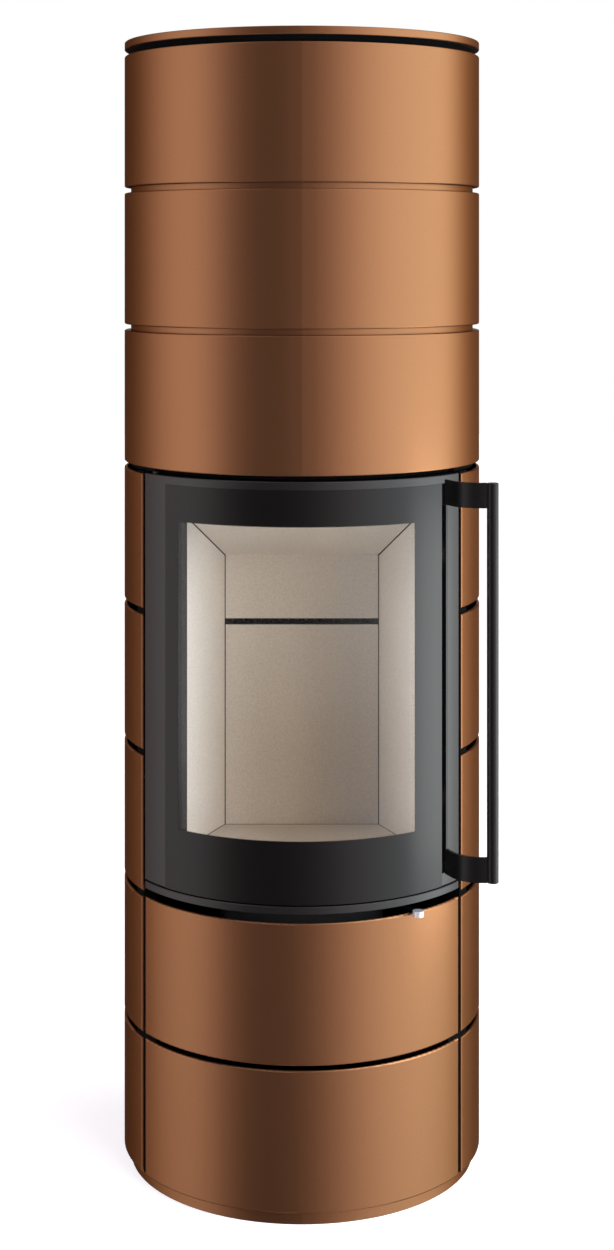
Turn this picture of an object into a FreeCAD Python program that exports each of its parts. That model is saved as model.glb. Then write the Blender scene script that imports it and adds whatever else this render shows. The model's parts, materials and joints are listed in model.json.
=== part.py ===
import FreeCAD, Part
import math
import os

# A tall round wood stove, in millimetres and degrees. +Z is up, the front faces -Y, and the
# origin is on the stove's axis at floor level. Angles are counted about that axis from the
# front, positive towards +X, which is the right-hand side of somebody facing the door.

Vector = FreeCAD.Vector
ORIGIN = Vector(0, 0, 0)
UP = Vector(0, 0, 1)
BACKWARD = Vector(0, 1, 0)
RIGHTWARD = Vector(1, 0, 0)
right_angle = 90.0
full_turn = 360.0

# Gaps shared by all fits
fit_gap = 0.3  # between curved faces that seat on each other
run_gap = 0.05  # radial, round pins and shafts
overrun = 5.0  # how far a cut passes the face that it opens

# Cladding: eight equal rows, the lower five in panels and the upper three in full rings
outer_r = 250.0
panel_t = 3.4
row_h = 183.0
groove_h = 8.3
edge_break = 0.8
edge_round = 2.0  # outer edges of the cladding
front_rows = 2
side_rows = 5
ring_rows = 3
front_rise = 2.0  # the front panels stand this much above their row
front_half_deg = 58.0
side_start_deg = 60.0
side_end_deg = 148.0
rear_start_deg = 149.0
ring_flange_w = 24.0
ring_flange_t = 3.0
groove_depth = 9.0
groove_ring_w = 12.0

# Plinth, base and feet
plinth_h = 18.0
plinth_inset = 10.0
plinth_t = 4.0
base_t = 4.0
foot_count = 4
foot_first_deg = 45.0
foot_inset = 56.0
foot_pad_r = 20.0
foot_pad_h = 6.0
foot_stem_r = 5.0
foot_stem_top = 20.0  # above the base plate
foot_nut_r = 9.0
foot_nut_h = 6.0

# Posts: channels behind the joints of the cladding
post_t = 3.0
shield_t = 1.5
shield_deg = (62.0, 150.0)
front_post_deg = (60.4, 66.0)
front_foot_deg = 53.0  # below the door the front posts also back the front panels
front_foot_drop = 6.0
rear_post_deg = (144.0, 152.0)

# Rear panel
rear_panel_t = 2.0
rear_slot_h = 8.0
rear_slot_pitch = 20.0
rear_slot_deg = 14.0
rear_slot_step_deg = 17.0
rear_slot_columns = 3
rear_slot_rows = 7
rear_slot_z = (90.0, 690.0)
inlet_hole_gap = 2.0

# Top
top_gap_h = 9.3
top_gap_depth = 12.0
top_spacer_w = 20.0
top_plate_t = 10.6

# Sill, shelf and deck
lever_gap_h = 11.5
sill_h = 10.2
sill_w = 24.0
shelf_t = 5.0
deck_t = 6.0
deck_front_inset = 18.0
deck_front_half_deg = 59.0

# Door leaf
door_bottom_gap = 2.0
door_top_gap = 1.1
door_half_deg = 58.1
door_depth = 23.0
door_wall = 4.0
door_skin = 4.0
glass_t = 5.0
glass_bed = 2.0
glass_left_deg = 46.7
glass_right_deg = 48.5
glass_gap = 0.2
top_strip_h = 11.0
window_half_deg = 42.2
window_low_border = 74.0
window_top_border = 47.8
glass_gasket_w = 10.0
glass_gasket_inset = 3.0
glass_gasket_slack = 0.1
rope_t = 8.0
rope_half_deg = 56.3
rope_low_inset = 6.0
rope_top_inset = 14.4

# Hinge, on the door's left edge
hinge_deg = -56.0
hinge_inset = 12.0
hinge_pin_r = 4.0
hinge_boss_r = 6.5
hinge_boss_h = 25.0
hinge_ear_half_deg = 2.6
hinge_ear_drop = 4.0
hinge_ear_w = 14.0

# Lock shaft and handle, on the door's right edge
lock_deg = 51.9
lock_inset = 16.5
lock_shaft_r = 4.5
lug_r = 8.0
lug_h = 10.0
lug_gap = 4.0
stile_start_deg = 51.7
slot_room_left = 4.3  # room for the handle's turn
slot_room_right = 0.8
slot_end_gap = 1.5
nose_share = (0.2, 0.8)  # heights of the lock noses along the door
nose_w = 8.0
nose_h = 14.0
nose_reach = 16.0
notch_gap = 6.0
notch_end_deg = 54.4
keeper_deg = 3.0
keeper_gap_deg = 0.3
keeper_gap = 0.6
keeper_depth = 5.0
handle_low_inset = 17.0
handle_top_inset = 5.4
handle_plate_t = 4.0
handle_lean_deg = 24.0  # the plate leaves the door at this angle from straight ahead
handle_reach = 41.6
handle_bend_r = 42.0
handle_run = 12.4
handle_arm_h = 33.5
handle_root = 6.2
handle_root_gap = 2.3
grip_r = 7.75
grip_round = 1.5

# Firebox, with its lining of boards
board_t = 25.0
plate_t = 4.0
hearth_back_share = 0.24  # of the stove's radius, as the next two
hearth_half_share = 0.446
baffle_front_share = 0.16
wall_slope_share = 0.4  # how much wider the hearth grows per length towards the front
baffle_rise_share = 0.749  # of the height inside the firebox, as the slot's
air_slot_h = 9.0
air_slot_share = 0.555
baffle_deg = 30.0
baffle_t = 20.0
baffle_side_gap = 0.5
board_joint = 0.8
board_front_gap = 6.0
firebox_top_gap = 8.5
front_plate_gap = 5.0
mouth_half_deg = 46.5
mouth_margin = 12.0
front_plate_half_deg = 66.0

# Air bar behind the slot, and the riser that feeds it
air_bar_depth = 15.0
air_bar_end_gap = 3.0
air_hole_r = 2.4
air_hole_margin = 9.5
air_hole_count = 14
back_slot_inset = 4.5
riser_half = 60.0
riser_depth = 22.0
riser_t = 2.0
riser_cover = 7.0
riser_port_gap = 4.0

# Air control
lever_rest_deg = 36.3
lever_t = 3.0
lever_panel_gap = 0.9
lever_disc_r = 92.0
lever_disc_gap = 0.4
lever_root_half = 8.0
lever_tip_half = 3.5
knob_r = 7.5
knob_stand = 9.0
knob_drop = 4.0
knob_rise = 0.8
knob_round = 1.0
port_count = 3
port_r = (48.0, 82.0)
port_deg = 40.0
pivot_r = 6.0
pivot_head_r = 10.0
pivot_head_h = 4.0
pivot_nut_h = 6.0
air_box_r = 115.0
air_box_h = 124.0
air_box_t = 2.0
stand_off_deg = (95.0, 180.0, 265.0)
stand_off_r = 6.0
stand_off_inset = 10.0
inlet_bore_r = 50.25
inlet_t = 2.25
inlet_rise = 60.0

# Flue and heat store
flue_r = 75.0
flue_t = 2.0
flue_clear = 3.0
socket_bore_r = 75.5
socket_t = 3.0
socket_depth = 60.0
socket_stop_w = 3.5
socket_stop_h = 4.0
socket_sink = 2.0
socket_gap = 0.5
stone_levels = 3
stone_gap = 21.0
stone_top_room = 63.9
stone_flue_gap = 7.0
stone_joint_deg = 0.2


def row_z(index):
    """Bottom of a cladding row."""
    return plinth_h + index * (row_h + groove_h)


# Heights that follow from the sizes above
base_z1 = plinth_h + base_t
front_top_z = row_z(front_rows - 1) + row_h + front_rise
sill_z0 = front_top_z + lever_gap_h
sill_z1 = sill_z0 + sill_h
shelf_z0 = sill_z1 - shelf_t
deck_z1 = row_z(side_rows)
deck_z0 = deck_z1 - deck_t
door_z0 = sill_z1 + door_bottom_gap
door_z1 = deck_z0 - door_top_gap
glass_z1 = door_z1 - top_strip_h
window_z0 = door_z0 + window_low_border
window_z1 = glass_z1 - window_top_border
rope_z0 = door_z0 + rope_low_inset
rope_z1 = door_z1 - rope_top_inset
lug_z0 = rope_z0 + rope_t + lug_gap
lug_z1 = rope_z1 - rope_t - lug_gap
tongue_z0 = lug_z0 + lug_h + lug_gap
tongue_z1 = lug_z1 - lug_h - lug_gap
handle_z0 = door_z0 + handle_low_inset
handle_z1 = door_z1 - handle_top_inset
firebox_z1 = deck_z0 - firebox_top_gap
hearth_z = sill_z1 + board_t
hearth_room_h = firebox_z1 - hearth_z
baffle_back_z = hearth_z + baffle_rise_share * hearth_room_h
air_slot_z0 = hearth_z + air_slot_share * hearth_room_h
air_slot_z1 = air_slot_z0 + air_slot_h
lever_z0 = front_top_z + lever_panel_gap
lever_z1 = lever_z0 + lever_t
air_box_z1 = lever_z0 - lever_disc_gap
air_box_z0 = air_box_z1 - air_box_h
inlet_z = air_box_z0 + inlet_rise
rings_z1 = row_z(side_rows + ring_rows) - groove_h
top_plate_z0 = rings_z1 + top_gap_h
total_h = top_plate_z0 + top_plate_t
socket_z1 = total_h - socket_sink
socket_z0 = socket_z1 - socket_depth - socket_stop_h

# Radii that follow from the sizes above
panel_in_r = outer_r - panel_t
foot_circle_r = outer_r - plinth_inset - plinth_t - foot_inset
post_r = panel_in_r - fit_gap
sill_in_r = outer_r - sill_w
shelf_r = sill_in_r - fit_gap
shield_in_r = shelf_r + fit_gap
shield_r = shield_in_r + shield_t
post_in_r = shield_r + fit_gap
inlet_r = inlet_bore_r + inlet_t
door_in_r = outer_r - door_depth
glass_in_r = outer_r - glass_t
bed_r = glass_in_r - glass_bed
skin_in_r = bed_r - door_skin
front_plate_r = door_in_r - front_plate_gap
front_plate_in_r = front_plate_r - plate_t
board_front_r = front_plate_in_r - board_front_gap
groove_r = outer_r - groove_depth
knob_r_place = outer_r + knob_stand
hearth_back_y = hearth_back_share * outer_r
hearth_half = hearth_half_share * outer_r
baffle_front_y = -baffle_front_share * outer_r
back_plate_y = hearth_back_y + board_t
back_outer_y = back_plate_y + plate_t
wall_skew = math.hypot(1, wall_slope_share)
air_bar_half = hearth_half - wall_slope_share * board_t - air_bar_end_gap
back_slot_half = air_bar_half - back_slot_inset
air_hole_pitch = 2 * (back_slot_half - air_hole_margin) / (air_hole_count - 1)
stone_r = outer_r - ring_flange_w - stone_gap
stone_h = (ring_rows * (row_h + groove_h) - stone_top_room) / stone_levels


def polar(radius, deg, z=0):
    """A point at a radius and an angle from the front."""
    turn = math.radians(deg)
    return Vector(radius * math.sin(turn), -radius * math.cos(turn), z)


def revolved(points, a0, a1):
    """Turns an outline of (radius, height) points about the stove's axis, between two angles."""
    corners = [Vector(r, 0, z) for r, z in points]
    face = Part.Face(Part.makePolygon(corners + corners[:1]))
    face.rotate(ORIGIN, UP, a0 - right_angle)
    return face.revolve(ORIGIN, UP, a1 - a0)


def sector(r_in, r_out, a0, a1, z0, z1):
    return revolved([(r_in, z0), (r_out, z0), (r_out, z1), (r_in, z1)], a0, a1)


def tube(r_in, r_out, z0, z1):
    return sector(r_in, r_out, 0, full_turn, z0, z1)


def rod(radius, place, z0, z1):
    """An upright cylinder at a place in plan."""
    return Part.makeCylinder(radius, z1 - z0, Vector(place.x, place.y, z0))


def disc(radius, z0, z1):
    return rod(radius, ORIGIN, z0, z1)


def block(x0, x1, y0, y1, z0, z1):
    return Part.makeBox(x1 - x0, y1 - y0, z1 - z0, Vector(x0, y0, z0))


def plan_prism(points, z0, z1):
    """Raises an outline of (x, y) points between two heights."""
    corners = [Vector(x, y, z0) for x, y in points]
    face = Part.Face(Part.makePolygon(corners + corners[:1]))
    return face.extrude(UP * (z1 - z0))


def side_prism(points, x0, x1):
    """Draws an outline of (y, z) points out along X."""
    corners = [Vector(x0, y, z) for y, z in points]
    face = Part.Face(Part.makePolygon(corners + corners[:1]))
    return face.extrude(RIGHTWARD * (x1 - x0))


def strip_points(start, heading, t0, t1, left, right):
    """Corners of a straight strip in plan, from t0 to t1 along a heading, with its two half widths."""
    side = Vector(-heading.y, heading.x, 0)
    ends = [(t0, left), (t0, -right), (t1, -right), (t1, left)]
    places = [start + heading * t + side * s for t, s in ends]
    return [(p.x, p.y) for p in places]


def span_deg(length, radius):
    """The angle that an arc of this length takes at this radius."""
    return math.degrees(length / radius)


def at_radius(edge, radius):
    return all(abs(math.hypot(v.X, v.Y) - radius) < fit_gap for v in edge.Vertexes)


def panel(a0, a1, z0, z1):
    """A curved cladding sheet with its outer edges rounded."""
    sheet = sector(panel_in_r, outer_r, a0, a1, z0, z1)
    edges = [edge for edge in sheet.Edges if at_radius(edge, outer_r)]
    return sheet.makeFillet(edge_round, edges)


def cladding_ring(z0, z1):
    """A full ring with inward flanges at its top and bottom."""
    flange_r = outer_r - ring_flange_w
    ring = revolved(
        [
            (flange_r, z0),
            (outer_r, z0),
            (outer_r, z1),
            (flange_r, z1),
            (flange_r, z1 - ring_flange_t),
            (panel_in_r, z1 - ring_flange_t),
            (panel_in_r, z0 + ring_flange_t),
            (flange_r, z0 + ring_flange_t),
        ],
        0,
        full_turn,
    )
    return ring.makeFillet(edge_round, [edge for edge in ring.Edges if at_radius(edge, outer_r)])


def groove_ring(index):
    """The band at the bottom of the groove over a ring."""
    z0 = row_z(side_rows + index) + row_h
    return tube(groove_r - groove_ring_w, groove_r, z0, z0 + groove_h)


def top_plate():
    hole_r = socket_bore_r + socket_t + socket_gap
    return revolved(
        [
            (hole_r, top_plate_z0),
            (outer_r - edge_break, top_plate_z0),
            (outer_r, top_plate_z0 + edge_break),
            (outer_r, total_h - edge_break),
            (outer_r - edge_break, total_h),
            (hole_r, total_h),
        ],
        0,
        full_turn,
    )


def foot_places():
    step = full_turn / foot_count
    return [polar(foot_circle_r, foot_first_deg + step * i) for i in range(foot_count)]


def hexagon(place, radius, z0, z1):
    side_count = 6
    turns = [math.radians(full_turn / side_count * i) for i in range(side_count)]
    points = [(place.x + radius * math.cos(t), place.y + radius * math.sin(t)) for t in turns]
    return plan_prism(points, z0, z1)


def levelling_foot(place):
    """A pad on a threaded stem, locked over the base plate by a nut."""
    pad = rod(foot_pad_r, place, 0, foot_pad_h)
    stem = rod(foot_stem_r, place, 0, base_z1 + foot_stem_top)
    nut = hexagon(place, foot_nut_r, base_z1, base_z1 + foot_nut_h)
    return pad.fuse([stem, nut]).removeSplitter()


def base_plate():
    plate = disc(post_r, plinth_h, base_z1)
    holes = [
        rod(foot_stem_r + run_gap, place, plinth_h - overrun, base_z1 + overrun)
        for place in foot_places()
    ]
    return plate.cut(holes)


def post(a0, a1):
    """A channel that opens towards the stove's axis."""
    wall = span_deg(post_t, post_r)
    solid = sector(post_in_r, post_r, a0, a1, base_z1, deck_z0)
    hollow = sector(
        post_in_r - overrun,
        post_r - post_t,
        a0 + wall,
        a1 - wall,
        base_z1 - overrun,
        deck_z0 + overrun,
    )
    return solid.cut(hollow)


def front_post(side):
    """A front post with its foot behind the front panels; side is 1 on the right and -1 on the left."""
    first, last = front_post_deg
    wall = span_deg(post_t, post_r)
    foot_top = front_top_z - front_foot_drop
    foot_ends = sorted((side * front_foot_deg, side * (first + wall)))
    foot = sector(post_r - post_t, post_r, *foot_ends, base_z1, foot_top)
    return post(*sorted((side * first, side * last))).fuse(foot).removeSplitter()


def rear_post(side):
    first, last = rear_post_deg
    return post(*sorted((side * first, side * last)))


def heat_shields():
    """Thin sheets behind the side panels, between the posts and the shelf."""
    first, last = shield_deg
    ends = [(-last, -first), (first, last)]
    return Part.makeCompound([sector(shield_in_r, shield_r, *pair, base_z1, deck_z0) for pair in ends])


def rear_panel():
    """A sheet with two fields of convection slots and a hole for the air inlet."""
    r_out = panel_in_r + rear_panel_t
    half_turn = full_turn / 2
    end_deg = full_turn - rear_start_deg
    sheet = sector(panel_in_r, r_out, rear_start_deg, end_deg, plinth_h, deck_z1 - groove_h)
    cuts = [
        Part.makeCylinder(inlet_r + inlet_hole_gap, outer_r, Vector(0, 0, inlet_z), BACKWARD)
    ]
    for field_z in rear_slot_z:
        for row in range(rear_slot_rows):
            z0 = field_z + row * rear_slot_pitch
            for column in range(rear_slot_columns):
                centre = half_turn + (column - (rear_slot_columns - 1) / 2) * rear_slot_step_deg
                ends = (centre - rear_slot_deg / 2, centre + rear_slot_deg / 2)
                cuts.append(sector(panel_in_r - overrun, r_out + overrun, *ends, z0, z0 + rear_slot_h))
    return sheet.cut(cuts)


def sill_strip():
    """The fixed strip under the door, drilled for the lower hinge pin."""
    strip = sector(sill_in_r, outer_r, -front_half_deg, front_half_deg, sill_z0, sill_z1)
    edges = [edge for edge in strip.Edges if at_radius(edge, outer_r)]
    strip = strip.makeChamfer(edge_break, edges)
    return strip.cut(rod(hinge_pin_r + run_gap, hinge_place(), sill_z0 - overrun, sill_z1 + overrun))


def shelf_plate():
    """The plate that carries the firebox, with the port under the riser."""
    plate = disc(shelf_r, shelf_z0, sill_z1)
    port = block(
        -riser_half + riser_t + riser_port_gap,
        riser_half - riser_t - riser_port_gap,
        back_outer_y + riser_port_gap,
        back_outer_y + riser_depth - riser_t - riser_port_gap,
        shelf_z0 - overrun,
        sill_z1 + overrun,
    )
    return plate.cut(port)


def deck_plate():
    """The plate over the door, cut back at the front, with the ear of the upper hinge."""
    front_r = outer_r - deck_front_inset
    plate = disc(groove_r, deck_z0, deck_z1)
    front = sector(
        front_r,
        outer_r,
        -deck_front_half_deg,
        deck_front_half_deg,
        deck_z0 - overrun,
        deck_z1 + overrun,
    )
    ear = sector(
        front_r - overrun,
        front_r + hinge_ear_w,
        hinge_deg - hinge_ear_half_deg,
        hinge_deg + hinge_ear_half_deg,
        deck_z1 - hinge_ear_drop,
        deck_z1,
    )
    holes = [
        disc(flue_r + flue_clear, deck_z0 - overrun, deck_z1 + overrun),
        rod(hinge_pin_r + run_gap, hinge_place(), deck_z0 - overrun, deck_z1 + overrun),
    ]
    return plate.cut(front).fuse(ear).cut(holes).removeSplitter()


def hinge_place():
    return polar(outer_r - hinge_inset, hinge_deg)


def hinge_pins():
    """The lower pin turns in the sill, the upper one in the deck's ear."""
    low = rod(hinge_pin_r, hinge_place(), sill_z0, door_z0 + hinge_boss_h)
    top = rod(hinge_pin_r, hinge_place(), door_z1 - hinge_boss_h, deck_z1)
    return Part.makeCompound([low, top])


def lock_place():
    return polar(outer_r - lock_inset, lock_deg)


def handle_heading():
    lean = math.radians(handle_lean_deg)
    return Vector(math.sin(lean), -math.cos(lean), 0)


def door_frame():
    """A shell with a window, a bed for the glass, hinge bosses and the lugs of the lock shaft."""
    body = sector(door_in_r, outer_r, -door_half_deg, door_half_deg, door_z0, door_z1)
    edges = [edge for edge in body.Edges if at_radius(edge, outer_r)]
    body = body.makeChamfer(edge_break, edges)
    side_wall = span_deg(door_wall, door_in_r)
    inner_half = door_half_deg - side_wall
    hollow = sector(
        door_in_r - overrun,
        skin_in_r,
        -inner_half,
        inner_half,
        door_z0 + door_wall,
        door_z1 - door_wall,
    )
    reveal_half = window_half_deg + side_wall
    reveal = sector(
        door_in_r - overrun,
        skin_in_r,
        -reveal_half,
        reveal_half,
        window_z0 - door_wall,
        window_z1 + door_wall,
    )
    low_boss = rod(hinge_boss_r, hinge_place(), door_z0, door_z0 + hinge_boss_h)
    top_boss = rod(hinge_boss_r, hinge_place(), door_z1 - hinge_boss_h, door_z1)
    low_lug = rod(lug_r, lock_place(), lug_z0, lug_z0 + lug_h)
    top_lug = rod(lug_r, lock_place(), lug_z1 - lug_h, lug_z1)
    body = body.cut(hollow.cut(reveal)).fuse([low_boss, top_boss, low_lug, top_lug])
    edge_gap = span_deg(glass_gap, outer_r)
    bed = sector(
        bed_r,
        outer_r + overrun,
        -glass_left_deg - edge_gap,
        glass_right_deg + edge_gap,
        door_z0 - overrun,
        glass_z1 + glass_gap,
    )
    recess = sector(
        bed_r,
        outer_r + overrun,
        glass_right_deg,
        stile_start_deg,
        handle_z0,
        glass_z1 + glass_gap,
    )
    window = sector(
        door_in_r - overrun,
        outer_r + overrun,
        -window_half_deg,
        window_half_deg,
        window_z0,
        window_z1,
    )
    half_t = handle_plate_t / 2
    slot = plan_prism(
        strip_points(
            lock_place(),
            handle_heading(),
            0,
            handle_reach,
            half_t + slot_room_right,
            half_t + slot_room_left,
        ),
        tongue_z0 - slot_end_gap,
        tongue_z1 + slot_end_gap,
    )
    holes = [
        rod(hinge_pin_r + run_gap, hinge_place(), door_z0 - overrun, door_z1 + overrun),
        rod(lock_shaft_r + run_gap, lock_place(), lug_z0 - overrun, lug_z1 + overrun),
    ]
    return body.cut([bed, recess, window, slot] + holes).removeSplitter()


def door_glass():
    return sector(glass_in_r, outer_r, -glass_left_deg, glass_right_deg, door_z0 + glass_gap, glass_z1)


def glass_gasket():
    """A flat loop round the window, between the frame and the glass."""
    r_in = bed_r + glass_gasket_slack
    r_out = glass_in_r - glass_gasket_slack
    loop = []
    for inset in (glass_gasket_inset + glass_gasket_w, glass_gasket_inset):
        half = window_half_deg + span_deg(inset, bed_r)
        loop.append(sector(r_in, r_out, -half, half, window_z0 - inset, window_z1 + inset))
    outside, inside = loop
    return outside.cut(inside)


def door_gasket():
    """A square rope that closes the door against the firebox's front plate."""
    r_in = front_plate_r + fit_gap
    r_out = r_in + rope_t
    width = span_deg(rope_t, r_in)
    outside = sector(r_in, r_out, -rope_half_deg, rope_half_deg, rope_z0, rope_z1)
    inside = sector(
        r_in - overrun,
        r_out + overrun,
        -rope_half_deg + width,
        rope_half_deg - width,
        rope_z0 + rope_t,
        rope_z1 - rope_t,
    )
    return outside.cut(inside)


def nose_heights():
    return [door_z0 + share * (door_z1 - door_z0) for share in nose_share]


def lock_shaft():
    """The upright shaft that the handle turns, with two noses towards the firebox's front plate."""
    place = lock_place()
    inward = polar(1, lock_deg) * -1
    shaft = rod(lock_shaft_r, place, lug_z0, lug_z1)
    noses = [
        plan_prism(
            strip_points(place, inward, 0, nose_reach, nose_w / 2, nose_w / 2),
            z - nose_h / 2,
            z + nose_h / 2,
        )
        for z in nose_heights()
    ]
    return shaft.fuse(noses).removeSplitter()


def handle_side(offset):
    """One side of the bent plate in plan: its start, the bend's start, middle and end, its end."""
    heading = handle_heading()
    side = Vector(-heading.y, heading.x, 0)
    bend_start = lock_place() + heading * handle_reach
    centre = bend_start + side * handle_bend_r
    radius = handle_bend_r - offset
    turn = right_angle - handle_lean_deg
    from_deg = -right_angle - turn
    middle, end = (
        centre + Vector(math.cos(math.radians(a)), math.sin(math.radians(a)), 0) * radius
        for a in (from_deg + turn / 2, from_deg + turn)
    )
    return [
        lock_place() + side * offset,
        bend_start + side * offset,
        middle,
        end,
        end + RIGHTWARD * handle_run,
    ]


def grip_place():
    return handle_side(0)[-1]


def handle_plate():
    """A bent plate: a tongue to the lock shaft, a root along the door and two arms to the grip."""
    near = handle_side(handle_plate_t / 2)
    far = handle_side(-handle_plate_t / 2)
    segments = [
        Part.LineSegment(near[0], near[1]),
        Part.Arc(near[1], near[2], near[3]),
        Part.LineSegment(near[3], near[4]),
        Part.LineSegment(near[4], far[4]),
        Part.LineSegment(far[4], far[3]),
        Part.Arc(far[3], far[2], far[1]),
        Part.LineSegment(far[1], far[0]),
        Part.LineSegment(far[0], near[0]),
    ]
    face = Part.Face(Part.Wire([segment.toShape() for segment in segments]))
    face.translate(UP * handle_z0)
    plate = face.extrude(UP * (handle_z1 - handle_z0))
    root_in_r = outer_r + handle_root_gap
    root_out_r = outer_r + handle_root
    far_r = outer_r + handle_reach + handle_bend_r + handle_run
    cuts = [
        disc(root_in_r, handle_z0 - overrun, tongue_z0),
        disc(root_in_r, tongue_z1, handle_z1 + overrun),
        tube(root_out_r, far_r, handle_z0 + handle_arm_h, handle_z1 - handle_arm_h),
        rod(lock_shaft_r + run_gap, lock_place(), handle_z0 - overrun, handle_z1 + overrun),
        rod(grip_r + run_gap, grip_place(), handle_z0 - overrun, handle_z1 + overrun),
    ]
    return plate.cut(cuts)


def handle_grip():
    bar = rod(grip_r, grip_place(), handle_z0, handle_z1)
    rims = [edge for edge in bar.Edges if len(edge.Vertexes) == 1]
    return bar.makeFillet(grip_round, rims)


def wall_x(y, offset):
    """Half width of the hearth at y, measured to a face this far behind the lining's inner face."""
    return hearth_half + wall_slope_share * (hearth_back_y - y) + offset * wall_skew


def hearth_plan(y0, y1, offset):
    """The hearth's outline in plan between two depths."""
    return [
        (-wall_x(y0, offset), y0),
        (wall_x(y0, offset), y0),
        (wall_x(y1, offset), y1),
        (-wall_x(y1, offset), y1),
    ]


def side_plan(side, y0, y1, near, far):
    """One side wall in plan, between two offsets from the lining's inner face."""
    corners = [(y0, near), (y0, far), (y1, far), (y1, near)]
    return [(side * wall_x(y, offset), y) for y, offset in corners]


def baffle_z(y):
    """Height of the baffle's underside."""
    return baffle_back_z + math.tan(math.radians(baffle_deg)) * (hearth_back_y - y)


def under_baffle(shape, joint=0):
    """Cuts off what stands above the plane of the baffle's underside, less a joint."""
    y0, y1 = -outer_r, outer_r
    points = [(y0, 0), (y1, 0), (y1, baffle_z(y1) - joint), (y0, baffle_z(y0) - joint)]
    return shape.common(side_prism(points, -outer_r, outer_r))


def side_board(side):
    board = plan_prism(side_plan(side, -outer_r, back_plate_y, 0, board_t), sill_z1, firebox_z1)
    return under_baffle(board.common(disc(board_front_r, sill_z1, firebox_z1)), board_joint)


def back_board(z0, z1):
    return under_baffle(plan_prism(hearth_plan(hearth_back_y, back_plate_y, -board_joint), z0, z1))


def floor_board():
    plan = hearth_plan(-outer_r, hearth_back_y - board_joint, -board_joint)
    board = plan_prism(plan, sill_z1, hearth_z)
    return board.common(disc(board_front_r, sill_z1, hearth_z))


def baffle():
    """A sloping board that lies on the upper back board, between the firebox's sides."""
    rise = baffle_t / math.cos(math.radians(baffle_deg))
    low = [(y, baffle_z(y)) for y in (baffle_front_y, back_plate_y)]
    top = [(y, z + rise) for y, z in reversed(low)]
    slab = side_prism(low + top, -outer_r, outer_r)
    plan = hearth_plan(baffle_front_y, back_plate_y, board_t - baffle_side_gap)
    return slab.common(plan_prism(plan, baffle_back_z - outer_r, baffle_back_z + outer_r))


def firebox_side(side):
    sheet = plan_prism(
        side_plan(side, -outer_r, back_outer_y, board_t, board_t + plate_t),
        sill_z1,
        firebox_z1 - plate_t,
    )
    return sheet.common(disc(front_plate_in_r - fit_gap, sill_z1, firebox_z1))


def firebox_back():
    """The back plate, slotted for the air bar."""
    sheet = plan_prism(hearth_plan(back_plate_y, back_outer_y, board_t), sill_z1, firebox_z1 - plate_t)
    slot = block(
        -back_slot_half,
        back_slot_half,
        back_plate_y - overrun,
        back_outer_y + overrun,
        air_slot_z0,
        air_slot_z1,
    )
    return sheet.cut(slot)


def firebox_top():
    z0 = firebox_z1 - plate_t
    sheet = plan_prism(hearth_plan(-outer_r, back_outer_y, board_t + plate_t), z0, firebox_z1)
    sheet = sheet.common(disc(front_plate_in_r - fit_gap, z0, firebox_z1))
    return sheet.cut(disc(flue_r - flue_t, z0 - overrun, firebox_z1 + overrun))


def firebox_front():
    """The curved plate round the firebox's mouth, notched for the lock noses."""
    sheet = sector(
        front_plate_in_r,
        front_plate_r,
        -front_plate_half_deg,
        front_plate_half_deg,
        sill_z1,
        firebox_z1,
    )
    r_in = front_plate_in_r - overrun
    r_out = front_plate_r + overrun
    mouth_z0 = rope_z0 + rope_t + mouth_margin
    mouth_z1 = rope_z1 - rope_t - mouth_margin
    cuts = [sector(r_in, r_out, -mouth_half_deg, mouth_half_deg, mouth_z0, mouth_z1)]
    reach = nose_h / 2 + notch_gap
    for z in nose_heights():
        cuts.append(sector(r_in, r_out, 0, notch_end_deg, z - reach, z + reach))
    return sheet.cut(cuts)


def latch_keepers():
    """Blocks behind the front plate, beside the noses."""
    first = notch_end_deg + keeper_gap_deg
    r_out = front_plate_in_r - keeper_gap
    blocks = [
        sector(r_out - keeper_depth, r_out, first, first + keeper_deg, z - nose_h / 2, z + nose_h / 2)
        for z in nose_heights()
    ]
    return Part.makeCompound(blocks)


def air_bar():
    """The drilled bar that fills the back of the air slot and carries the upper back board."""
    y0 = back_plate_y - air_bar_depth
    bar = block(-air_bar_half, air_bar_half, y0, back_plate_y, air_slot_z0, air_slot_z1)
    middle = (air_slot_z0 + air_slot_z1) / 2
    holes = []
    for i in range(air_hole_count):
        x = (i - (air_hole_count - 1) / 2) * air_hole_pitch
        start = Vector(x, y0 - overrun, middle)
        holes.append(Part.makeCylinder(air_hole_r, air_bar_depth + 2 * overrun, start, BACKWARD))
    return bar.cut(holes)


def air_riser():
    """A channel up the firebox's back plate, closed at its top."""
    z1 = air_slot_z1 + riser_cover
    y1 = back_outer_y + riser_depth
    shell = block(-riser_half, riser_half, back_outer_y, y1, sill_z1, z1)
    hollow = block(
        -riser_half + riser_t,
        riser_half - riser_t,
        back_outer_y - overrun,
        y1 - riser_t,
        sill_z1 - overrun,
        z1 - riser_t,
    )
    return shell.cut(hollow)


def ports(z0, z1):
    """The air ports, which line up at rest in the air box and in the lever's disc."""
    step = full_turn / port_count
    middles = [lever_rest_deg + step * (i + 1 / 2) for i in range(port_count)]
    return [sector(*port_r, m - port_deg / 2, m + port_deg / 2, z0, z1) for m in middles]


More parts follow.
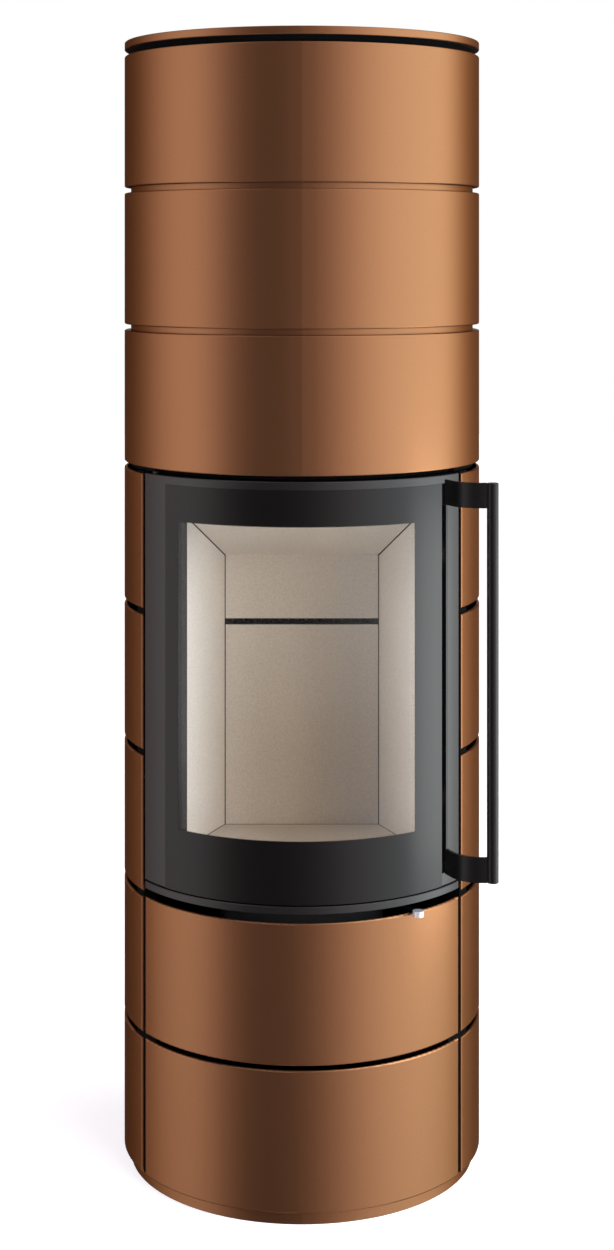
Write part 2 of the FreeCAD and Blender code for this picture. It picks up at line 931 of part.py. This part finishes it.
def air_box():
    """A drum under the lever, hung from the shelf on stand-offs."""
    shell = disc(air_box_r, air_box_z0, air_box_z1)
    inside = disc(air_box_r - air_box_t, air_box_z0 + air_box_t, air_box_z1 - air_box_t)
    top = air_box_z1 - air_box_t
    holes = ports(top - overrun, air_box_z1 + overrun)
    holes.append(disc(pivot_r + run_gap, top - overrun, air_box_z1 + overrun))
    holes.append(Part.makeCylinder(inlet_bore_r, outer_r, Vector(0, 0, inlet_z), BACKWARD))
    legs = [
        rod(stand_off_r, polar(air_box_r - stand_off_inset, deg), air_box_z1, shelf_z0)
        for deg in stand_off_deg
    ]
    return shell.cut(inside).cut(holes).fuse(legs)


def air_inlet():
    """The spigot from the air box to the rear panel."""
    middle = Vector(0, 0, inlet_z)
    pipe = Part.makeCylinder(inlet_r, outer_r, middle, BACKWARD)
    bore = Part.makeCylinder(inlet_bore_r, outer_r + overrun, middle, BACKWARD)
    drum = disc(air_box_r + fit_gap, air_box_z0 - overrun, air_box_z1 + overrun)
    return pipe.cut([bore, drum])


def lever_arm(extra):
    """The lever's tapered arm, grown by a clearance on every side."""
    heading = polar(1, lever_rest_deg)
    side = Vector(-heading.y, heading.x, 0)
    ends = [
        (0, lever_root_half + extra),
        (knob_r_place + extra, lever_tip_half + extra),
        (knob_r_place + extra, -lever_tip_half - extra),
        (0, -lever_root_half - extra),
    ]
    places = [heading * t + side * s for t, s in ends]
    return plan_prism([(p.x, p.y) for p in places], lever_z0 - extra, lever_z1 + extra)


def air_lever():
    """One plate: the damper disc with its ports, and the arm that comes out under the door."""
    plate = disc(lever_disc_r, lever_z0, lever_z1).fuse(lever_arm(0))
    holes = ports(lever_z0 - overrun, lever_z1 + overrun)
    holes.append(disc(pivot_r + run_gap, lever_z0 - overrun, lever_z1 + overrun))
    return plate.cut(holes).removeSplitter()


def air_knob():
    """A turned knob, slit to take the lever's end."""
    place = polar(knob_r_place, lever_rest_deg)
    knob = rod(knob_r, place, lever_z0 - knob_drop, lever_z1 + knob_rise)
    rims = [edge for edge in knob.Edges if len(edge.Vertexes) == 1]
    return knob.makeFillet(min(knob_round, knob_rise / 2), rims).cut(lever_arm(run_gap))


def lever_pivot():
    """A shoulder bolt through the air box's top and the lever's disc."""
    under = air_box_z1 - air_box_t
    head_z0 = lever_z1 + lever_disc_gap
    shank = disc(pivot_r, under - pivot_nut_h, head_z0)
    head = disc(pivot_head_r, head_z0, head_z0 + pivot_head_h)
    nut = hexagon(ORIGIN, pivot_head_r, under - pivot_nut_h, under)
    return shank.fuse([head, nut]).removeSplitter()


def flue_socket():
    """The socket in the top plate, with a stop for the flue pipe."""
    outside = socket_bore_r + socket_t
    stop_r = socket_bore_r - socket_stop_w
    stop_z = socket_z0 + socket_stop_h
    return revolved(
        [
            (stop_r, socket_z0),
            (outside, socket_z0),
            (outside, socket_z1),
            (socket_bore_r, socket_z1),
            (socket_bore_r, stop_z),
            (stop_r, stop_z),
        ],
        0,
        full_turn,
    )


def storage_stones():
    """Half rings of stone, stacked round the flue on the deck."""
    half_turn = full_turn / 2
    blocks = []
    for level in range(stone_levels):
        z0 = deck_z1 + level * stone_h
        for start in (0, half_turn):
            ends = (start + stone_joint_deg, start + half_turn - stone_joint_deg)
            blocks.append(sector(flue_r + stone_flue_gap, stone_r, *ends, z0, z0 + stone_h))
    return Part.makeCompound(blocks)


def side_panels():
    made = {}
    for row in range(side_rows):
        z0 = row_z(row)
        made[f"side_panel_left_{row + 1}"] = panel(-side_end_deg, -side_start_deg, z0, z0 + row_h)
        made[f"side_panel_right_{row + 1}"] = panel(side_start_deg, side_end_deg, z0, z0 + row_h)
    return made


def front_panels():
    made = {}
    for row, name in enumerate(("lower", "upper")):
        z0 = row_z(row)
        z1 = z0 + row_h + front_rise
        made[f"front_panel_{name}"] = panel(-front_half_deg, front_half_deg, z0, z1)
    return made


def rings():
    made = {}
    for index, name in enumerate(("lower", "middle", "upper")):
        z0 = row_z(side_rows + index)
        made[f"ring_{name}"] = cladding_ring(z0, z0 + row_h)
    return made


def all_parts():
    top_spacer_r = outer_r - top_gap_depth
    parts = {
        "base_plate": base_plate(),
        "levelling_feet": Part.makeCompound([levelling_foot(place) for place in foot_places()]),
        "plinth_ring": tube(outer_r - plinth_inset - plinth_t, outer_r - plinth_inset, 0, plinth_h),
        "post_front_left": front_post(-1),
        "post_front_right": front_post(1),
        "post_rear_left": rear_post(-1),
        "post_rear_right": rear_post(1),
        "heat_shields": heat_shields(),
        "rear_panel": rear_panel(),
        "sill_strip": sill_strip(),
        "shelf_plate": shelf_plate(),
        "deck_plate": deck_plate(),
        "firebox_back": firebox_back(),
        "firebox_left": firebox_side(-1),
        "firebox_right": firebox_side(1),
        "firebox_top": firebox_top(),
        "firebox_front": firebox_front(),
        "latch_keepers": latch_keepers(),
        "liner_floor": floor_board(),
        "liner_back_lower": back_board(sill_z1, air_slot_z0),
        "liner_back_upper": back_board(air_slot_z1, firebox_z1),
        "liner_left": side_board(-1),
        "liner_right": side_board(1),
        "baffle": baffle(),
        "air_bar": air_bar(),
        "air_riser": air_riser(),
        "air_box": air_box(),
        "air_inlet": air_inlet(),
        "lever_pivot": lever_pivot(),
        "air_lever": air_lever(),
        "air_knob": air_knob(),
        "flue_tube": tube(flue_r - flue_t, flue_r, firebox_z1, socket_z0),
        "flue_socket": flue_socket(),
        "storage_stones": storage_stones(),
        "groove_rings": Part.makeCompound([groove_ring(i) for i in range(ring_rows - 1)]),
        "top_spacer": tube(top_spacer_r - top_spacer_w, top_spacer_r, rings_z1, top_plate_z0),
        "top_plate": top_plate(),
        "door_frame": door_frame(),
        "door_glass": door_glass(),
        "glass_gasket": glass_gasket(),
        "door_gasket": door_gasket(),
        "hinge_pins": hinge_pins(),
        "lock_shaft": lock_shaft(),
        "handle_plate": handle_plate(),
        "handle_grip": handle_grip(),
    }
    parts.update(side_panels())
    parts.update(front_panels())
    parts.update(rings())
    return parts


os.makedirs("parts", exist_ok=True)
for name, shape in all_parts().items():
    shape.exportStep(f"parts/{name}.step")
    print(name, shape.isValid(), len(shape.Solids), round(shape.Volume))
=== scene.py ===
import json
import math

import bpy
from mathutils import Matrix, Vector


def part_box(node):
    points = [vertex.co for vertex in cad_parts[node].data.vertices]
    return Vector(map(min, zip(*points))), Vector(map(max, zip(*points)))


# The looks of a tall round wood stove, in metres. The front faces -Y and the origin is on the
# stove's axis at floor level.

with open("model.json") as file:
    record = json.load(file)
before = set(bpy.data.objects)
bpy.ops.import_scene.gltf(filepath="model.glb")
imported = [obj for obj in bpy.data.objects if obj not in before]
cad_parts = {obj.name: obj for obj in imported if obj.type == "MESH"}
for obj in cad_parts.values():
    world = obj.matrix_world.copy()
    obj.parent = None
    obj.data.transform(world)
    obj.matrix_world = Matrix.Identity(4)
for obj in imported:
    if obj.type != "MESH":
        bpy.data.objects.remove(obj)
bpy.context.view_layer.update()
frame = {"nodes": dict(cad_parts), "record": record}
scene = bpy.context.scene

# Camera
camera_place = (0.0, -3.00125, 1.262)
camera_level_deg = 90.0
camera_lens_mm = 61.08
camera_sensor_mm = 36.0
camera_shift = (0.0041, -0.2959)

# Studio light: brightness round the horizon, by degrees from the front towards the right
half_turn = 180.0
studio_light = [
    (-180, 0.05), (-150, 0.09), (-130, 0.18), (-115, 0.43), (-102, 0.79), (-88, 1.02),
    (-72, 1.1), (-60, 0.86), (-50, 0.42), (-38, 0.12), (-19, 0.09), (0, 0.15),
    (17, 0.5), (35, 1.05), (55, 1.5), (73, 1.65), (90, 1.8), (103, 1.98),
    (113, 1.4), (125, 0.63), (142, 0.24), (180, 0.05),
]
studio_light_top = 2.0
studio_tint_dark = (1.0, 0.68, 0.67)
studio_tint_bright = (1.0, 1.12, 1.13)

# Below the horizon the light falls to a share, and on the far right to a further share. The ends
# are heights of a direction of length 1.
studio_low_share = 0.6
studio_low_ends = (-0.5, -0.2)
right_low_share = 0.76
right_low_deg = (80.0, 100.0)
right_low_ends = (-0.3, -0.08)

# Soft boxes that light the hearth through the glass: place, aim, size across and up, watts, colour
hearth_aim = (0.0, -0.2, 0.72)
side_box_size = (1.0, 1.4)
front_box_size = (0.9, 0.9)
cool_light = (0.92, 1.0, 1.2)
cooler_light = (0.9, 1.05, 1.3)
warm_light = (1.0, 0.92, 0.82)
soft_boxes = {
    "soft_box_right": ((1.75, -1.45, 1.1), hearth_aim, side_box_size, 52.0, cooler_light),
    "soft_box_left": ((-1.75, -1.45, 1.15), hearth_aim, side_box_size, 36.0, cool_light),
    "soft_box_front": ((1.3, -2.7, 1.45), hearth_aim, front_box_size, 24.0, warm_light),
}

# A low panel of light on the right that shows in the glass
white = (1.0, 1.0, 1.0)
panel_light = ((1.0, -0.185, 0.5), (0.0, -0.185, 0.5), (0.53, 0.66), 2.6, white)

# Stage
floor_half = 14.0
floor_drop = 0.0004
floor_colour = (0.85, 0.85, 0.85)
floor_glow = 0.5
backdrop_y = 12.0
backdrop_half = 2.4
backdrop_h = 3.4
backdrop_colour = (0.9, 0.9, 0.9)

# Door glass: its clear window, the black print round it and the pane, which reflects little
window_left_deg = 41.0
window_right_deg = 36.6
window_z = (0.501, 0.9086)
print_edge = 0.0006
print_colour = (0.002, 0.002, 0.002)
print_roughness = 0.3
print_ior = 1.46
pane_half = 0.002
pane_ior = 1.25
pane_colour = (0.96, 0.96, 0.95)
pane_shade = (0.93, 0.93, 0.92)

# Shares of a noise at which a material has its darker and its lighter colour
noise_ends = (0.3, 0.7)

# Bronze paint; its faces that look down more steeply than this are dark and matt: painted shade for
# the gaps under the rings, panels and top plate
under_steepness = 0.9
# Colour of the painted shade on the faces that look down
underside_shade_colour = (0.012, 0.008, 0.006)
bronze_colours = ((0.355, 0.168, 0.080), (0.41, 0.198, 0.097))
bronze_gloss = (0.62, 0.36, 0.24)

# Dark paints: darker and lighter colour, least and most roughness, scale of the grain, IOR
dark_paints = {
    "black_steel": ((0.003,) * 3, (0.006,) * 3, (0.3, 0.38), 900.0, 1.65),
    "handle_black": ((0.002,) * 3, (0.004,) * 3, (0.3, 0.38), 900.0, 1.45),
    # Near-black and matt, with little reflection, for the parts seen in the gaps: painted shade
    "gap_shade_black": ((0.002,) * 3, (0.004,) * 3, (0.75, 0.9), 500.0, 1.1),
    "mild_steel": ((0.035, 0.035, 0.036), (0.06,) * 3, (0.55, 0.7), 700.0, 1.5),
}

# Bare metals: darker and lighter colour, least and most roughness, metallic share
bare_metals = {
    "bright_steel": ((0.5, 0.5, 0.51), (0.62, 0.62, 0.63), (0.25, 0.38), 1.0),
    "chrome": ((0.82,) * 3, (0.88,) * 3, (0.25, 0.32), 0.7),
}
turning_stretch = (1, 1, 40)

# Lining boards: colours by noise, their slopes, the joints between them and the dark edge there
board_stops = [(0.3, (0.60, 0.52, 0.42)), (0.55, (0.68, 0.60, 0.50)), (0.75, (0.73, 0.66, 0.57))]
# Painted shade in the joints between the boards, on their edges and behind the back boards
joint_shade_colour = (0.02, 0.016, 0.012)
wall_slope = 0.4
baffle_deg = 30.0
board_joint = 0.0008
joint_edge = 0.0005
joint_skin = 0.0002

# Storage stones and sealing rope
stone_colours = ((0.22, 0.21, 0.20), (0.36, 0.35, 0.34))
stone_roughness = 0.9
rope_colours = ((0.012, 0.012, 0.012), (0.05, 0.05, 0.05))
rope_roughness = 0.95
rope_stretch = (1, 1, 2.5)

# Nodes with a look other than that of their material slot
handle_nodes = ("handle_plate", "handle_grip")
# Parts seen in the gaps and recesses are painted darker and duller than their own paint: painted
# shade
shaded_gap_nodes = (
    "post_front_left", "post_front_right", "post_rear_left", "post_rear_right", "heat_shields",
    "top_spacer", "air_bar", "deck_plate", "shelf_plate", "base_plate", "air_lever",
)
own_looks = {"hinge_pins": "mild_steel"}
own_looks.update(dict.fromkeys(handle_nodes, "handle_black"))
own_looks.update(dict.fromkeys(shaded_gap_nodes, "gap_shade_black"))

# Sockets of a colour Mix node
mix_first = 6
mix_second = 7
mix_result = 2


def opaque(colour):
    """A colour with full alpha."""
    return (*colour, 1.0)


def new_material(name):
    """An empty node material with its output, and a Principled shader linked to it."""
    material = bpy.data.materials.new(name)
    material.use_nodes = True
    nodes = material.node_tree.nodes
    nodes.clear()
    output = nodes.new("ShaderNodeOutputMaterial")
    shader = nodes.new("ShaderNodeBsdfPrincipled")
    material.node_tree.links.new(shader.outputs["BSDF"], output.inputs["Surface"])
    return material, shader


# The functions whose names start with add take the material or world that owns the new nodes.


def add_noise(owner, scale, detail, stretch=(1, 1, 1)):
    """Noise over object space, stretched along an axis where asked."""
    nodes = owner.node_tree.nodes
    place = nodes.new("ShaderNodeTexCoord")
    mapping = nodes.new("ShaderNodeMapping")
    mapping.inputs["Scale"].default_value = stretch
    noise = nodes.new("ShaderNodeTexNoise")
    noise.inputs["Scale"].default_value = scale
    noise.inputs["Detail"].default_value = detail
    links = owner.node_tree.links
    links.new(place.outputs["Object"], mapping.inputs["Vector"])
    links.new(mapping.outputs["Vector"], noise.inputs["Vector"])
    return noise.outputs["Fac"]


def add_ramp(owner, factor, stops):
    """Colours by factor: a list of (position, colour)."""
    ramp = owner.node_tree.nodes.new("ShaderNodeValToRGB")
    elements = ramp.color_ramp.elements
    while len(elements) < len(stops):
        elements.new(1.0)
    for element, (position, colour) in zip(elements, stops):
        element.position = position
        element.color = opaque(colour)
    owner.node_tree.links.new(factor, ramp.inputs["Fac"])
    return ramp.outputs["Color"]


def add_blend(owner, noise, colours):
    """A darker and a lighter colour, by noise."""
    return add_ramp(owner, noise, list(zip(noise_ends, colours)))


def add_range(owner, factor, low=0.0, high=1.0, ends=(0.0, 1.0), smooth=False):
    """A number that runs from low to high between two ends of the factor."""
    node = owner.node_tree.nodes.new("ShaderNodeMapRange")
    if smooth:
        node.interpolation_type = "SMOOTHSTEP"
    for name, value in zip(("From Min", "From Max", "To Min", "To Max"), (*ends, low, high)):
        node.inputs[name].default_value = value
    owner.node_tree.links.new(factor, node.inputs["Value"])
    return node.outputs["Result"]


def add_bump(owner, shader, height, strength, distance):
    """Fine relief on a shader, from a height."""
    node = owner.node_tree.nodes.new("ShaderNodeBump")
    node.inputs["Strength"].default_value = strength
    node.inputs["Distance"].default_value = distance
    links = owner.node_tree.links
    links.new(height, node.inputs["Height"])
    links.new(node.outputs["Normal"], shader.inputs["Normal"])


def add_math(owner, operation, first, second=0.0):
    """One calculation: each side is a socket or a number."""
    node = owner.node_tree.nodes.new("ShaderNodeMath")
    node.operation = operation
    for socket, value in zip(node.inputs, (first, second)):
        if isinstance(value, (int, float)):
            socket.default_value = value
        else:
            owner.node_tree.links.new(value, socket)
    return node.outputs["Value"]


def add_product(owner, *factors):
    """The factors multiplied: each is a socket or a number."""
    whole = factors[0]
    for factor in factors[1:]:
        whole = add_math(owner, "MULTIPLY", whole, factor)
    return whole


def add_highest(owner, *values):
    """The highest of several sockets."""
    whole = values[0]
    for value in values[1:]:
        whole = add_math(owner, "MAXIMUM", whole, value)
    return whole


def add_coordinates(owner, space):
    """The three coordinates of a point or of a direction."""
    nodes = owner.node_tree.nodes
    place = nodes.new("ShaderNodeTexCoord")
    split = nodes.new("ShaderNodeSeparateXYZ")
    owner.node_tree.links.new(place.outputs[space], split.inputs["Vector"])
    return [split.outputs[axis] for axis in "XYZ"]


def add_tinted(owner, mask, base, tint):
    """The base colour where the mask is 0 and the tint where it is 1."""
    mix = owner.node_tree.nodes.new("ShaderNodeMix")
    mix.data_type = "RGBA"
    links = owner.node_tree.links
    links.new(mask, mix.inputs["Factor"])
    links.new(base, mix.inputs[mix_first])
    mix.inputs[mix_second].default_value = opaque(tint)
    return mix.outputs[mix_result]


def add_shader_mix(owner, factor, first, second):
    """The first shader where the factor is 0 and the second where it is 1."""
    mix = owner.node_tree.nodes.new("ShaderNodeMixShader")
    links = owner.node_tree.links
    links.new(factor, mix.inputs["Fac"])
    for socket, shader in zip(mix.inputs[1:], (first, second)):
        links.new(shader, socket)
    return mix.outputs["Shader"]


def add_facing_down(owner):
    """1 on the faces that look down."""
    nodes = owner.node_tree.nodes
    split = nodes.new("ShaderNodeSeparateXYZ")
    shape = nodes.new("ShaderNodeNewGeometry")
    owner.node_tree.links.new(shape.outputs["True Normal"], split.inputs["Vector"])
    return add_math(owner, "LESS_THAN", split.outputs["Z"], -under_steepness)


def add_seen_rays(owner):
    """1 for the rays of the camera, of reflections and of light through glass."""
    rays = owner.node_tree.nodes.new("ShaderNodeLightPath")
    names = ("Is Camera Ray", "Is Glossy Ray", "Is Transmission Ray")
    return add_highest(owner, *[rays.outputs[name] for name in names])


def set_surface(material, shader):
    """Links a shader to the material's output."""
    nodes = material.node_tree.nodes
    material.node_tree.links.new(shader, nodes["Material Output"].inputs["Surface"])


def bronze_material():
    """Satin metallic paint: fine flakes, a slow drift of gloss, a faint grain and painted shade on
    the undersides, which are dark and matt.
    """
    material, shader = new_material("bronze")
    links = material.node_tree.links
    flakes = add_noise(material, scale=1400.0, detail=2.0)
    colour = add_blend(material, flakes, bronze_colours)
    # Faces that look down take painted shade: dark, matt and not metallic
    underside_shade = add_facing_down(material)
    links.new(add_tinted(material, underside_shade, colour, underside_shade_colour), shader.inputs["Base Color"])
    drift = add_noise(material, scale=6.0, detail=3.0)
    gloss = add_range(material, drift, low=0.31, high=0.36)
    links.new(add_highest(material, gloss, underside_shade), shader.inputs["Roughness"])
    links.new(add_range(material, underside_shade, low=0.96, high=0.0), shader.inputs["Metallic"])
    add_bump(material, shader, flakes, strength=0.05, distance=0.0002)
    shader.inputs["Specular Tint"].default_value = opaque(bronze_gloss)
    return material


def dark_metal(name):
    """Heat-proof dark paint with a fine sprayed grain."""
    dark, light, roughness, grain, ior = dark_paints[name]
    material, shader = new_material(name)
    links = material.node_tree.links
    spray = add_noise(material, scale=grain, detail=3.0)
    links.new(add_blend(material, spray, (dark, light)), shader.inputs["Base Color"])
    drift = add_noise(material, scale=9.0, detail=3.0)
    links.new(add_range(material, drift, *roughness), shader.inputs["Roughness"])
    add_bump(material, shader, spray, strength=0.08, distance=0.0003)
    shader.inputs["IOR"].default_value = ior
    return material


def turned_metal(name):
    """Bare metal with fine rings from turning."""
    dark, light, roughness, metallic = bare_metals[name]
    material, shader = new_material(name)
    links = material.node_tree.links
    rings = add_noise(material, scale=90.0, detail=3.0, stretch=turning_stretch)
    links.new(add_blend(material, rings, (dark, light)), shader.inputs["Base Color"])
    links.new(add_range(material, rings, *roughness), shader.inputs["Roughness"])
    shader.inputs["Metallic"].default_value = metallic
    return material


def add_joint_mask(owner):
    """1 in the joints between the lining boards, behind them and on their edges there."""
    back_low, back_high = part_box("liner_back_lower")
    floor_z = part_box("liner_floor")[1][2]
    baffle_back_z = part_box("liner_back_upper")[1][2]
    back_y = back_low[1]
    back_half = back_high[0]
    baffle_slope = math.tan(math.radians(baffle_deg))
    x, y, z = add_coordinates(owner, "Object")
    wide = add_math(owner, "ABSOLUTE", x)
    ahead = add_math(owner, "SUBTRACT", back_y, y)
    wall_x = add_math(owner, "ADD", add_product(owner, ahead, wall_slope), back_half)
    baffle_z = add_math(owner, "ADD", add_product(owner, ahead, baffle_slope), baffle_back_z)
    beside = add_math(owner, "GREATER_THAN", wide, add_math(owner, "SUBTRACT", wall_x, joint_edge))
    behind = add_math(owner, "GREATER_THAN", y, back_y + joint_skin)
    at_back = add_math(owner, "GREATER_THAN", y, back_y - joint_skin)
    at_floor = add_math(owner, "LESS_THAN", z, floor_z + joint_skin)
    rear = add_math(owner, "GREATER_THAN", y, back_y - board_joint - joint_edge)
    under_z = add_math(owner, "SUBTRACT", baffle_z, board_joint + joint_edge)
    at_baffle = add_math(owner, "GREATER_THAN", z, under_z)
    return add_highest(
        owner,
        behind,
        add_product(owner, at_back, beside),
        add_product(owner, at_floor, add_highest(owner, beside, rear)),
        add_product(owner, at_baffle, beside),
    )


def board_material():
    """Pale pressed lining board with small flecks, and painted shade in the joints between the boards
    and behind the back boards.
    """
    material, shader = new_material("liner_board")
    links = material.node_tree.links
    flecks = add_noise(material, scale=420.0, detail=5.0)
    boards = add_ramp(material, flecks, board_stops)
    # The joints, their edges and the boards behind the back boards take painted shade
    joint_shaded = add_tinted(material, add_joint_mask(material), boards, joint_shade_colour)
    links.new(joint_shaded, shader.inputs["Base Color"])
    links.new(add_range(material, flecks, low=0.8, high=0.95), shader.inputs["Roughness"])
    add_bump(material, shader, flecks, strength=0.12, distance=0.0006)
    return material


def stone_material():
    """Cast stone with a coarse grain."""
    material, shader = new_material("storage_stone")
    grain = add_noise(material, scale=160.0, detail=6.0)
    colour = add_blend(material, grain, stone_colours)
    material.node_tree.links.new(colour, shader.inputs["Base Color"])
    shader.inputs["Roughness"].default_value = stone_roughness
    add_bump(material, shader, grain, strength=0.3, distance=0.001)
    return material


def rope_material():
    """Black rope with a coarse, uneven surface."""
    material, shader = new_material("rope_seal")
    ribs = add_noise(material, scale=500.0, detail=2.0, stretch=rope_stretch)
    colour = add_blend(material, ribs, rope_colours)
    material.node_tree.links.new(colour, shader.inputs["Base Color"])
    shader.inputs["Roughness"].default_value = rope_roughness
    add_bump(material, shader, ribs, strength=0.6, distance=0.001)
    return material


def add_window_mask(owner):
    """1 in the clear window of the glass and 0 on its black edge, which is on the outer face."""
    x, y, z = add_coordinates(owner, "Object")
    squares = [add_product(owner, axis, axis) for axis in (x, y)]
    radius = add_math(owner, "SQRT", add_math(owner, "ADD", *squares))
    glass_r = -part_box("door_glass")[0][1]
    inner = add_math(owner, "LESS_THAN", radius, glass_r - pane_half)
    left_x = add_product(owner, y, math.tan(math.radians(window_left_deg)))
    right_x = add_product(owner, y, -math.tan(math.radians(window_right_deg)))
    left_room = add_math(owner, "SUBTRACT", x, left_x)
    right_room = add_math(owner, "SUBTRACT", right_x, x)
    low_room = add_math(owner, "SUBTRACT", z, window_z[0])
    top_room = add_math(owner, "SUBTRACT", window_z[1], z)
    side_room = add_math(owner, "MINIMUM", left_room, right_room)
    level_room = add_math(owner, "MINIMUM", low_room, top_room)
    room = add_math(owner, "MINIMUM", side_room, level_room)
    window = add_range(owner, room, ends=(-print_edge, print_edge))
    return add_highest(owner, window, inner)


def glass_material():
    """A pane with a black edge; its clear window lets the light through into the hearth."""
    material, shader = new_material("glass")
    nodes = material.node_tree.nodes
    shader.inputs["Base Color"].default_value = opaque(pane_colour)
    shader.inputs["Transmission Weight"].default_value = 1.0
    shader.inputs["IOR"].default_value = pane_ior
    shader.inputs["Roughness"].default_value = 0.0
    clear = nodes.new("ShaderNodeBsdfTransparent")
    clear.inputs["Color"].default_value = opaque(pane_shade)
    rays = nodes.new("ShaderNodeLightPath")
    passing = add_highest(material, rays.outputs["Is Shadow Ray"], rays.outputs["Is Diffuse Ray"])
    pane = add_shader_mix(material, passing, shader.outputs["BSDF"], clear.outputs["BSDF"])
    edge = nodes.new("ShaderNodeBsdfPrincipled")
    edge.inputs["Base Color"].default_value = opaque(print_colour)
    edge.inputs["Roughness"].default_value = print_roughness
    edge.inputs["IOR"].default_value = print_ior
    window = add_window_mask(material)
    set_surface(material, add_shader_mix(material, window, edge.outputs["BSDF"], pane))
    return material


def dress_nodes():
    """Each CAD node takes the material of its slot in the record, or a look of its own."""
    looks = {
        "bronze": bronze_material(),
        "liner_board": board_material(),
        "glass": glass_material(),
        "storage_stone": stone_material(),
        "rope_seal": rope_material(),
    }
    for name in dark_paints:
        looks[name] = dark_metal(name)
    for name in bare_metals:
        looks[name] = turned_metal(name)
    for part in frame["record"]["subparts"]:
        mesh = frame["nodes"][part["node"]].data
        mesh.materials.clear()
        mesh.materials.append(looks[own_looks.get(part["node"], part["material_slot"])])
    for name in handle_nodes:
        frame["nodes"][name].visible_glossy = False  # the door's glass shows no handle in it


def staged_mesh(name, corners, material):
    """One flat face that belongs to the studio and not to the stove."""
    mesh = bpy.data.meshes.new(name)
    mesh.from_pydata(corners, [], [tuple(range(len(corners)))])
    mesh.materials.append(material)
    thing = bpy.data.objects.new(name, mesh)
    scene.collection.objects.link(thing)
    return thing


def floor_material():
    """A pale floor that keeps shadows."""
    material, shader = new_material("studio_floor")
    shader.inputs["Base Color"].default_value = opaque(floor_colour)
    shader.inputs["Roughness"].default_value = 1.0
    shader.inputs["Specular IOR Level"].default_value = 0.0
    shader.inputs["Emission Color"].default_value = opaque(white)
    glow = add_product(material, add_seen_rays(material), floor_glow)
    material.node_tree.links.new(glow, shader.inputs["Emission Strength"])
    return material


def backdrop_material():
    """White to the camera and in reflections, and a pale wall for the light."""
    material, shader = new_material("studio_backdrop")
    shader.inputs["Base Color"].default_value = opaque(backdrop_colour)
    shader.inputs["Roughness"].default_value = 1.0
    glow = material.node_tree.nodes.new("ShaderNodeEmission")
    glow.inputs["Strength"].default_value = 1.0
    seen = add_seen_rays(material)
    surface = add_shader_mix(material, seen, shader.outputs["BSDF"], glow.outputs["Emission"])
    set_surface(material, surface)
    return material


def build_stage():
    """The floor, and a backdrop behind the stove."""
    low = -floor_drop
    half = floor_half
    corners = [(-half, -half, low), (half, -half, low), (half, half, low), (-half, half, low)]
    floor = staged_mesh("studio_floor", corners, floor_material())
    floor.visible_glossy = False  # the metal shows the studio's light below the floor
    wide = backdrop_half
    ends = [(-wide, low), (wide, low), (wide, backdrop_h), (-wide, backdrop_h)]
    staged_mesh("studio_backdrop", [(x, backdrop_y, z) for x, z in ends], backdrop_material())


def studio_stops():
    """The studio's colours round the horizon, as shares of its highest level."""
    stops = []
    for deg, level in studio_light:
        part = level / studio_light_top
        tint = [part * (d + (b - d) * part) for d, b in zip(studio_tint_dark, studio_tint_bright)]
        stops.append(((deg + half_turn) / (2 * half_turn), tint))
    return stops


def build_world():
    """Light from all round, bright on the right and left and dimmer below."""
    world = bpy.data.worlds.new("studio")
    world.use_nodes = True
    scene.world = world
    links = world.node_tree.links
    background = world.node_tree.nodes["Background"]
    x, y, z = add_coordinates(world, "Generated")
    turn = add_math(world, "ARCTAN2", x, add_product(world, y, -1.0))
    around = add_range(world, turn, ends=(-math.pi, math.pi))
    links.new(add_ramp(world, around, studio_stops()), background.inputs["Color"])
    low_light = studio_low_share * studio_light_top
    level = add_range(world, z, low_light, studio_light_top, studio_low_ends, smooth=True)
    right_ends = [math.radians(deg) for deg in right_low_deg]
    right = add_range(world, turn, ends=right_ends, smooth=True)
    low = add_range(world, z, 1.0, 0.0, right_low_ends, smooth=True)
    dimmed = add_range(world, add_product(world, right, low), 1.0, right_low_share)
    links.new(add_product(world, level, dimmed), background.inputs["Strength"])


def aimed_lamp(name, place, aim, size, power, colour):
    """A rectangular lamp aimed at a point, which the camera doesn't see."""
    data = bpy.data.lights.new(name, "AREA")
    data.color = colour
    data.shape = "RECTANGLE"
    data.size, data.size_y = size
    data.energy = power
    lamp = bpy.data.objects.new(name, data)
    scene.collection.objects.link(lamp)
    lamp.location = place
    x, y, z = [end - start for start, end in zip(place, aim)]
    lamp.rotation_euler = (math.atan2(math.hypot(x, y), -z), 0.0, math.atan2(y, x) - math.pi / 2)
    lamp.visible_camera = False
    return lamp


def light_studio():
    """A low panel that shows in the glass, and the soft boxes for the hearth."""
    aimed_lamp("panel_light", *panel_light)
    for name, settings in soft_boxes.items():
        lamp = aimed_lamp(name, *settings)
        lamp.visible_glossy = False
        lamp.visible_transmission = False


def place_camera():
    """A level camera in front of the stove."""
    data = bpy.data.cameras.new("camera")
    data.sensor_fit = "VERTICAL"
    data.sensor_height = camera_sensor_mm
    data.lens = camera_lens_mm
    data.shift_x, data.shift_y = camera_shift
    camera = bpy.data.objects.new("camera", data)
    camera.location = camera_place
    camera.rotation_euler = (math.radians(camera_level_deg), 0.0, 0.0)
    scene.collection.objects.link(camera)
    scene.camera = camera


dress_nodes()
build_stage()
build_world()
light_studio()
place_camera()
scene.view_settings.view_transform = "Standard"
